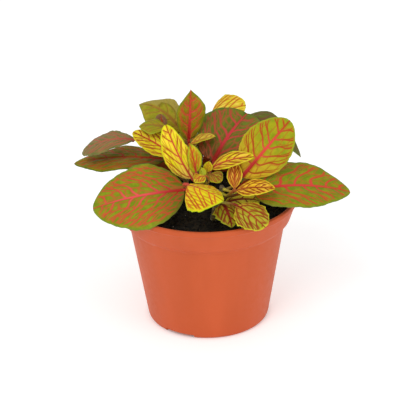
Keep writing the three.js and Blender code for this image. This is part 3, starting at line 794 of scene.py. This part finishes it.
def blade_sides(leaf, blade, phase, scale, seed):
    """The upper side, which swells between its veins and sinks along the midrib, and the lower."""
    upward = unit(np.cross(*np.gradient(blade.surface, axis=(0, 1))))
    if np.sum(upward * blade.normal) < 0:
        upward = -upward
    swell = np.abs(np.sin(np.pi * phase)) ** 0.7
    swell = swell * (0.78 + 0.22 * np.cos(FULL_TURN * blade.out / leaf.cell + seed))
    swell = swell * np.clip(blade.out / 1.6, 0, 1) * np.clip(blade.gap / 1.8, 0, 1)
    relief = leaf.quilt * scale * swell - GROOVE * scale * np.exp(-((blade.out / 0.9) ** 2))
    upper = blade.surface + upward * relief[..., None]
    thick = LEAF_THICKNESS + (MARGIN_THICKNESS - LEAF_THICKNESS) * blade.size**2
    thick = thick * np.clip(blade.half / 2.5, 0.25, 1)
    return upper, upper - upward * thick[..., None]


def two_sided(upper, lower):
    """Points and faces of a closed sheet, and the number of each face's material."""
    rows, wide = upper.shape[:2]
    count = rows * wide
    grid = np.arange(count).reshape(rows, wide).tolist()
    faces = []
    which = []
    for near, far in zip(grid, grid[1:]):
        for a, b, c, d in zip(near, near[1:], far[1:], far):
            faces += [(a, b, c, d), (a + count, d + count, c + count, b + count)]
            which += [TOP, UNDER]
    one_side = [row[-1] for row in grid[1:]]
    other_side = [row[0] for row in grid[-2:0:-1]]
    rim = grid[0] + one_side + grid[-1][-2::-1] + other_side
    for a, b in zip(rim, rim[1:] + rim[:1]):
        faces.append((b, a, a + count, b + count))
        which.append(TOP)
    return np.concatenate([upper.reshape(-1, 3), lower.reshape(-1, 3)]), faces, which


def stalk_of(leaf, control, face, length, groove):
    """A tube from the stem to the blade, which runs on under the blade as the raised midrib.

    Gives its rings of points, and how far along the blade each is, from -1 at the stem.
    """
    stem = STEMS[leaf.stem]
    base = control[0]
    on_stem = centripetal(stem, leaf.at)[0]
    out = square(base - on_stem, heading_of(stem, leaf.at))
    foot = on_stem + out * (stem_radius(leaf.at) - 0.25)
    reach = np.linalg.norm(base - foot) * 0.35
    enter = bezier(control, [0.0])[1][0]
    t = np.linspace(0, 1, STALK_RINGS)
    stalk_place, stalk_heading = bezier([foot, foot + out * reach, base - enter * reach, base], t)

    under = np.linspace(0.02, 0.94, RIB_RINGS)
    rib_place, rib_heading = bezier(control, under)
    rib_normal = square(face, rib_heading)
    rib_radius = 0.62 * (1 - under) ** 0.8 + 0.06
    rib_place = rib_place - rib_normal * (LEAF_THICKNESS + groove + rib_radius * 0.3)[:, None]

    headings = np.concatenate([stalk_heading, rib_heading])
    normals = square(face, headings)
    thick = STALK_RADIUS * (0.45 + 0.55 * min(1.0, length / 16))
    radii = np.concatenate([
        thick * (1.25 - 0.35 * np.sin(np.pi / 2 * np.clip(t * 2.5, 0, 1))),
        np.minimum(rib_radius, thick * 0.85),
    ])
    rings = tube(np.concatenate([stalk_place, rib_place]), headings, normals, radii, STALK_SIDES)
    return rings, np.concatenate([t - 1, under])


def store(mesh, name, values, shape, on_stalk=0.0):
    """Keeps one number or three for each point of the upper side, the lower side and the stalk."""
    kind, key = ("FLOAT", "value") if len(values) == 1 else ("FLOAT_VECTOR", "vector")
    flat = np.stack([np.broadcast_to(value, shape).ravel() for value in values], axis=-1)
    stalk = np.zeros((len(mesh.vertices) - 2 * len(flat), len(values)))
    stalk[:, 0] = on_stalk
    layer = mesh.attributes.new(name, kind, "POINT")
    layer.data.foreach_set(key, np.concatenate([flat, flat, stalk]).ravel().astype(np.float32))


def build_leaf(leaf, seed):
    control, face = midrib_of(leaf)
    blade = blade_of(leaf, control, face, seed)
    phase, spacing = side_veins(leaf, blade, seed)
    scale = min(1.0, spacing.mean() / 2.6)
    upper, lower = blade_sides(leaf, blade, phase, scale, seed)
    points, faces, which = two_sided(upper, lower)
    rings, rings_along = stalk_of(leaf, control, face, blade.length, GROOVE * scale)
    stalk_faces = ring_faces(len(rings), STALK_SIDES, len(points))

    name = leaf.name + "_leaf"
    materials = [
        leaf_top_material(name + "_top", leaf),
        leaf_under_material(name + "_under", leaf),
        stalk_material(name + "_stalk", leaf),
    ]
    points = np.concatenate([points, rings.reshape(-1, 3)])
    mesh = mesh_from(name, points, faces + stalk_faces, materials)
    mesh.polygons.foreach_set("material_index", which + [STALK] * len(stalk_faces))

    # What the materials draw the veins from
    across = blade.sign * blade.out
    cell_row = phase * leaf.rows - 0.5 + CELL_RANDOMNESS / 2
    cell_column = blade.out / leaf.cell + HALF_SHIFT * (blade.sign > 0) + seed
    fields = dict(
        across=[across], phase=[phase], spacing=[spacing], reach=[blade.size], edge=[blade.gap],
        flat_place=[blade.u * blade.length, across, seed], mesh_place=[cell_row, cell_column, 0.0],
    )
    store(mesh, "along", [blade.u], phase.shape, np.repeat(rings_along, STALK_SIDES))
    for field_name, values in fields.items():
        store(mesh, field_name, values, phase.shape)
    mesh.update()
    return new_piece(name, mesh, leaf.slot, "leaf_" + leaf.name)


# Stems, with short pale hairs

def build_stem(node, points, skin, hair):
    """A stem from its planted foot to its tip, in rings that lie closer together above the soil."""
    x, y, _ = points[0]
    foot = np.array([x, y, PLANTED_Z])
    at_surface = np.array([x, y, SOIL_TOP + SOIL_MOUND])
    upper = centripetal(points, np.linspace(1 / 3, 1, RINGS_ABOVE))
    buried = foot + (at_surface - foot) * np.linspace(0, 1, BURIED_RINGS)[:, None]
    between = at_surface + (upper[0] - at_surface) * np.linspace(0, 1, 7)[1:-1, None]
    places = np.concatenate([buried, between, upper])
    headings = unit(np.gradient(places, axis=0))
    normals = square(np.array([0.0, 1.0, 0.0]), headings)
    height = np.linspace(0, 1, len(places))
    radii = stem_radius(height) * (1 + 0.05 * np.sin(height * 31))
    radii[-1] *= 0.72
    rings = tube(places, headings, normals, radii, STEM_SIDES)
    faces = ring_faces(len(places), STEM_SIDES)
    mesh = mesh_from(node + "_skin", rings.reshape(-1, 3), faces, [skin])
    new_piece(node + "_skin", mesh, "stem", node)

    # Each hair is a thin spike on a three-sided foot
    tufts = []
    hair_faces = []
    for _ in range(HAIR_COUNT):
        where = rng.integers(BURIED_RINGS + 1, len(places) - 1)
        turn = rng.uniform(0, FULL_TURN)
        ahead, normal = headings[where], normals[where]
        out = np.cross(ahead, normal) * math.cos(turn) + normal * math.sin(turn)
        along = ahead * rng.uniform(-0.5, 0.7)
        root = places[where] + out * radii[where] * 0.97 + ahead * rng.uniform(-0.4, 0.4)
        end = root + unit(out + along) * rng.uniform(0.35, 0.75)
        wide = unit(np.cross(out, ahead)) * HAIR_RADIUS
        tall = ahead * HAIR_RADIUS
        first = len(tufts)
        tufts += [root + wide, root - wide * 0.5 + tall, root - wide * 0.5 - tall, end]
        hair_faces += [(first + a, first + b, first + 3) for a, b in ((0, 1), (1, 2), (2, 0))]
    mesh = mesh_from(node + "_hairs", tufts, hair_faces, [hair], smooth=False)
    new_piece(node + "_hairs", mesh, "stem")


# Soil

def soil_height(x, y):
    """Height of the soil's surface: a low mound that falls near the pot's wall, rough with clods."""
    radius = math.hypot(x, y)
    mound = SOIL_MOUND * max(0.0, 1 - (radius / MOUND_RADIUS) ** 2)
    level = SOIL_TOP + mound - max(0.0, (radius - FALL_FROM) / FALL_RUN)
    rough = sum(
        tall * noise.noise(Vector((x * fineness, y * fineness, seed))) for fineness, tall, seed in CLODS
    )
    return level - SOIL_SINK + rough


def scatter(name, count, small, large, most_radius, material):
    """Crumbs that lie on the soil, most of them near the small size."""
    cluster = bmesh.new()
    for _ in range(count):
        radius = most_radius * math.sqrt(rng.uniform(0, 1))
        x, y = on_circle(radius, rng.uniform(0, FULL_TURN))
        size = small + (large - small) * rng.uniform(0, 1) ** 2.5
        made = bmesh.ops.create_icosphere(cluster, subdivisions=1, radius=size * MM)
        stretch = (rng.uniform(0.7, 1.5), rng.uniform(0.7, 1.3), rng.uniform(0.5, 0.9), 1)
        squash = Matrix.Diagonal(stretch)
        angle = rng.uniform(0, FULL_TURN)
        spin = Matrix.Rotation(angle, 4, Vector(rng.normal(size=3)).normalized())
        move = Matrix.Translation(Vector((x, y, soil_height(x, y) + size * 0.3)) * MM)
        bmesh.ops.transform(cluster, matrix=move @ spin @ squash, verts=made["verts"])
        for vertex in made["verts"]:
            vertex.co += Vector(rng.normal(size=3)) * size * 0.12 * MM
    mesh = bpy.data.meshes.new(name)
    cluster.to_mesh(mesh)
    cluster.free()
    mesh.materials.append(material)
    mesh.shade_smooth()
    new_piece(name, mesh, "soil")


def build_soil(material, pale):
    """The body that fills the pot: rings over its surface, then down the wall to the pot's floor."""
    middle = 0.4
    bottom = FLOOR_TOP + SOIL_GAP
    foot = FOOT_RADIUS - WALL - SOIL_GAP
    circles = np.concatenate([[middle], np.linspace(1.0, SOIL_RADIUS, SOIL_RINGS)])
    wall_profile = [
        (COLLAR_BOTTOM_RADIUS - WALL - 0.4, COLLAR_BOTTOM_Z + 0.6),
        (SHOULDER_RADIUS - WALL - SOIL_GAP, SHOULDER_Z + 0.5),
        (foot, bottom + SOIL_GAP),
        (foot - 1.1, bottom),
        (middle, bottom),
    ]
    points = [(x, y, soil_height(x, y)) for radius in circles for x, y in circle(radius, SOIL_SIDES)]
    points += [(x, y, z) for radius, z in wall_profile for x, y in circle(radius, SOIL_SIDES)]
    faces = ring_faces(len(circles) + len(wall_profile), SOIL_SIDES)
    mesh = mesh_from("soil_body", points, faces, [material])
    new_piece("soil_body", mesh, "soil", "potting_soil")
    scatter("soil_crumbs", CRUMB_COUNT, 0.25, 1.1, 40.0, material)
    scatter("soil_pale_grains", PALE_GRAIN_COUNT, 0.2, 0.5, 39.5, pale)


# Pot

def cut(target, cutter):
    """Takes cutter away from target and keeps the result as target's own mesh."""
    change = target.modifiers.new("cut", "BOOLEAN")
    change.operation = "DIFFERENCE"
    change.solver = "EXACT"
    change.object = cutter
    graph = bpy.context.evaluated_depsgraph_get()
    made = bpy.data.meshes.new_from_object(target.evaluated_get(graph))
    target.modifiers.clear()
    old = target.data
    target.data = made
    bpy.data.meshes.remove(old)
    bpy.data.objects.remove(cutter)


def wedge(angle, span, inner, outer, low, high):
    """A block that is part of a ring, centred on an angle in degrees."""
    steps = 12
    corners = ((inner, low), (inner, high), (outer, high), (outer, low))
    turns = [math.radians(angle - span / 2 + span * k / steps) for k in range(steps + 1)]
    points = [(*on_circle(radius, turn), z) for turn in turns for radius, z in corners]
    faces = ring_faces(steps + 1, len(corners))
    return add_to_scene("cutter", mesh_from("cutter", points, faces, [], smooth=False))


def rounded(points, steps=4):
    """Rounds the corners that have a third number, the distance from the corner to the curve's ends."""
    made = []
    for k, point in enumerate(points):
        if len(point) == 2:
            made.append(point)
            continue
        here = np.array(point[:2], float)
        before = np.array(points[k - 1][:2], float)
        after = np.array(points[k + 1][:2], float)
        a = here + unit(before - here) * point[2]
        b = here + unit(after - here) * point[2]
        for s in range(steps + 1):
            w = s / steps
            made.append(tuple((1 - w) ** 2 * a + 2 * w * (1 - w) * here + w * w * b))
    return made


def build_pot(material):
    """A lathe shape from the middle of its underside round to the middle of its floor, then cut."""
    middle = 0.01
    profile = rounded([
        (middle, 0.0),
        (FOOT_RADIUS - 0.35, 0.0, 1.5),
        (FOOT_RADIUS + 0.2, 2.2, 0.6),
        (SHOULDER_RADIUS, SHOULDER_Z, 0.7),
        (COLLAR_BOTTOM_RADIUS, COLLAR_BOTTOM_Z, 0.5),
        (RIM_RADIUS - 0.75, POT_HEIGHT - 3.1, 0.4),
        (RIM_RADIUS, POT_HEIGHT - 2.5, 0.4),
        (RIM_RADIUS, POT_HEIGHT, 0.7),
        (RIM_RADIUS - WALL - 0.4, POT_HEIGHT, 0.6),
        (RIM_RADIUS - WALL - 1.0, POT_HEIGHT - 2.4, 0.4),
        (COLLAR_BOTTOM_RADIUS - WALL, COLLAR_BOTTOM_Z + 0.4, 0.5),
        (SHOULDER_RADIUS - WALL, SHOULDER_Z + 0.3, 0.5),
        (FOOT_RADIUS - WALL + 0.3, FLOOR_TOP, 0.8),
        (middle, FLOOR_TOP),
    ])
    points = [(x, y, z) for radius, z in profile for x, y in circle(radius, POT_SIDES)]
    mesh = mesh_from("pot_shell", points, ring_faces(len(profile), POT_SIDES), [material])
    pot = new_piece("pot_shell", mesh, "pot_plastic", "pot")
    slot_span = math.degrees(SLOT_WIDTH / SLOT_RADIUS)
    near, far = SLOT_RADIUS - SLOT_DEPTH / 2, SLOT_RADIUS + SLOT_DEPTH / 2
    for angle in NOTCH_ANGLES:
        cut(pot, wedge(angle, NOTCH_SPAN, NOTCH_INNER_RADIUS, FOOT_RADIUS + 5, -1, NOTCH_HEIGHT))
        cut(pot, wedge(angle, slot_span, near, far, -1, FLOOR_TOP + 2.8))
    pot.data.shade_smooth()
    sharp = pot.modifiers.new("smooth_by_angle", "EDGE_SPLIT")
    sharp.split_angle = math.radians(50)


build_pot(pot_material())
pale_grain = speckled_material(
    "soil_pale_grain", 1300.0, 3.0, (120, 112, 98), (168, 162, 148), (0.8, 0.95), 0.0002
)
build_soil(soil_material(), pale_grain)
stem_skin = stem_material()
stem_hair = speckled_material(
    "stem_hair", 700.0, 2.0, (176, 170, 150), (210, 206, 190), (0.6, 0.75), 0.0
)
for stem, points in STEMS.items():
    build_stem(stem, points, stem_skin, stem_hair)
for number, row in enumerate(LEAVES):
    build_leaf(row, seed=number * SEED_STEP)


# Floor, light and camera

def build_floor():
    signs = ((-1, -1), (1, -1), (1, 1), (-1, 1))
    corners = [(x * FLOOR_REACH, y * FLOOR_REACH, FLOOR_Z) for x, y in signs]
    mesh = mesh_from("floor", corners, [(0, 1, 2, 3)], [floor_material()], smooth=False)
    floor = add_to_scene("floor", mesh)


def area_light(name, place, side, power):
    data = bpy.data.lights.new(name, "AREA")
    data.shape = "SQUARE"
    data.size = side
    data.energy = power
    light = add_to_scene(name, data)
    light.location = place
    light.rotation_mode = "QUATERNION"
    light.rotation_quaternion = (LIGHT_AIM - Vector(place)).to_track_quat("-Z", "Y")


def light_room():
    world = bpy.data.worlds.new("pale_room")
    world.use_nodes = True
    background = world.node_tree.nodes["Background"]
    background.inputs["Color"].default_value = (1, 1, 1, 1)
    background.inputs["Strength"].default_value = ROOM_LIGHT
    bpy.context.scene.world = world


def place_camera():
    data = bpy.data.cameras.new("photo_camera")
    data.sensor_fit = "HORIZONTAL"
    data.sensor_width = SENSOR_WIDTH
    data.lens = CAMERA_LENS
    camera = add_to_scene("photo_camera", data)
    back = CAMERA_RIGHT.cross(CAMERA_UP)
    turned = Matrix((CAMERA_RIGHT, CAMERA_UP, back)).transposed().to_4x4()
    camera.matrix_world = Matrix.Translation(CAMERA_PLACE) @ turned
    return camera


build_floor()
light_room()
for light, values in LIGHTS.items():
    area_light(light, **values)
bpy.context.scene.camera = place_camera()
bpy.context.scene.view_settings.view_transform = "Standard"
